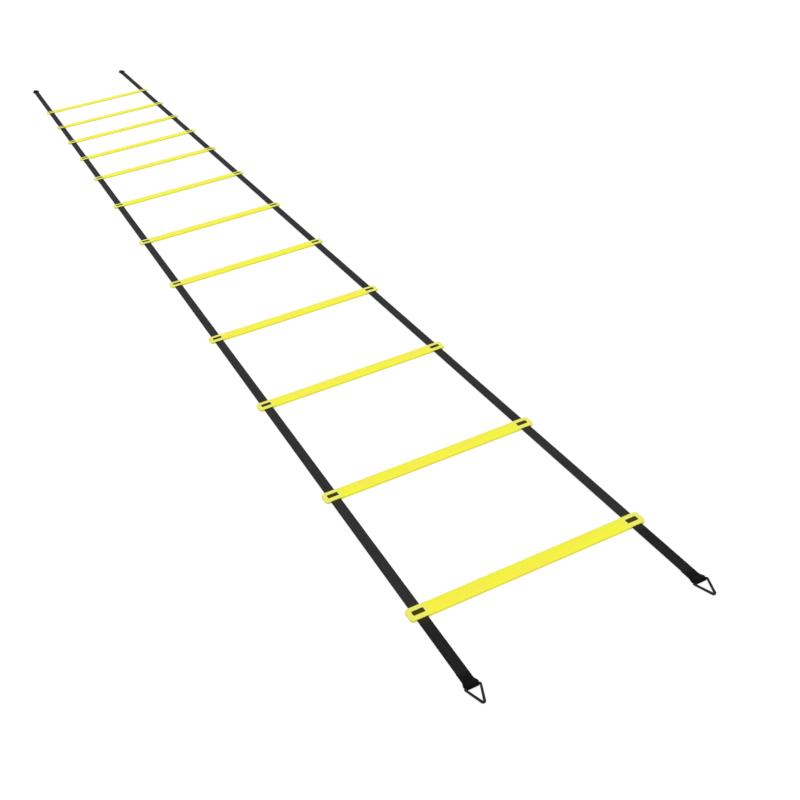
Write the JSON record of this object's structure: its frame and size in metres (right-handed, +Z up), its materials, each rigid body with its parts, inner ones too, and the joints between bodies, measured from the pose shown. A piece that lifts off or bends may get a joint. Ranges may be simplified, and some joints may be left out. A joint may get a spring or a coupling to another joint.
{
  "type": "agility ladder",
  "caption": "Flat training ladder: moulded rungs with slotted ends that slide on two webbing straps, each strap end sewn round a swinging triangular ring.",
  "frame": {"origin": "middle of the ladder's footprint, on the floor plane", "axes": "+Z up from the floor, +Y along the straps from the near end to the far end, X across along the rungs"},
  "size_m": [0.426, 4.1134, 0.0066],
  "materials": {
    "rung": "satin lemon-yellow moulded plastic",
    "webbing": "black woven polypropylene webbing",
    "ring": "black-coated wire"
  },
  "bodies": {
    "straps": {"strap_left": "webbing", "strap_right": "webbing"},
    "rung_01": {"rung_01": "rung"},
    "rung_02": {"rung_02": "rung"},
    "rung_03": {"rung_03": "rung"},
    "rung_04": {"rung_04": "rung"},
    "rung_05": {"rung_05": "rung"},
    "rung_06": {"rung_06": "rung"},
    "rung_07": {"rung_07": "rung"},
    "rung_08": {"rung_08": "rung"},
    "rung_09": {"rung_09": "rung"},
    "rung_10": {"rung_10": "rung"},
    "rung_11": {"rung_11": "rung"},
    "rung_12": {"rung_12": "rung"},
    "ring_near_left": {"ring_near_left": "ring"},
    "ring_near_right": {"ring_near_right": "ring"},
    "ring_far_left": {"ring_far_left": "ring"},
    "ring_far_right": {"ring_far_right": "ring"}
  },
  "joints": [
    {"name": "rung_01_slide", "type": "slide", "parent": "straps", "child": "rung_01", "axis": [0, 1, 0], "range_m": [-0.1345, 0.1575]},
    {"name": "rung_02_slide", "type": "slide", "parent": "straps", "child": "rung_02", "axis": [0, 1, 0], "range_m": [-0.1575, 0.167]},
    {"name": "rung_03_slide", "type": "slide", "parent": "straps", "child": "rung_03", "axis": [0, 1, 0], "range_m": [-0.167, 0.1595]},
    {"name": "rung_04_slide", "type": "slide", "parent": "straps", "child": "rung_04", "axis": [0, 1, 0], "range_m": [-0.1595, 0.1665]},
    {"name": "rung_05_slide", "type": "slide", "parent": "straps", "child": "rung_05", "axis": [0, 1, 0], "range_m": [-0.1665, 0.157]},
    {"name": "rung_06_slide", "type": "slide", "parent": "straps", "child": "rung_06", "axis": [0, 1, 0], "range_m": [-0.157, 0.1625]},
    {"name": "rung_07_slide", "type": "slide", "parent": "straps", "child": "rung_07", "axis": [0, 1, 0], "range_m": [-0.1625, 0.143]},
    {"name": "rung_08_slide", "type": "slide", "parent": "straps", "child": "rung_08", "axis": [0, 1, 0], "range_m": [-0.143, 0.1155]},
    {"name": "rung_09_slide", "type": "slide", "parent": "straps", "child": "rung_09", "axis": [0, 1, 0], "range_m": [-0.1155, 0.1055]},
    {"name": "rung_10_slide", "type": "slide", "parent": "straps", "child": "rung_10", "axis": [0, 1, 0], "range_m": [-0.1055, 0.104]},
    {"name": "rung_11_slide", "type": "slide", "parent": "straps", "child": "rung_11", "axis": [0, 1, 0], "range_m": [-0.104, 0.1165]},
    {"name": "rung_12_slide", "type": "slide", "parent": "straps", "child": "rung_12", "axis": [0, 1, 0], "range_m": [-0.1165, 0.3805]},
    {"name": "ring_near_left_swing", "type": "hinge", "parent": "straps", "child": "ring_near_left", "pos_m": [-0.1945, -2.02243, 0.0033], "axis": [-1, 0, 0], "range_deg": [0, 95]},
    {"name": "ring_near_right_swing", "type": "hinge", "parent": "straps", "child": "ring_near_right", "pos_m": [0.1945, -2.02243, 0.0033], "axis": [-1, 0, 0], "range_deg": [0, 95]},
    {"name": "ring_far_left_swing", "type": "hinge", "parent": "straps", "child": "ring_far_left", "pos_m": [-0.1945, 2.02243, 0.0033], "axis": [1, 0, 0], "range_deg": [0, 95]},
    {"name": "ring_far_right_swing", "type": "hinge", "parent": "straps", "child": "ring_far_right", "pos_m": [0.1945, 2.02243, 0.0033], "axis": [1, 0, 0], "range_deg": [0, 95]}
  ]
}
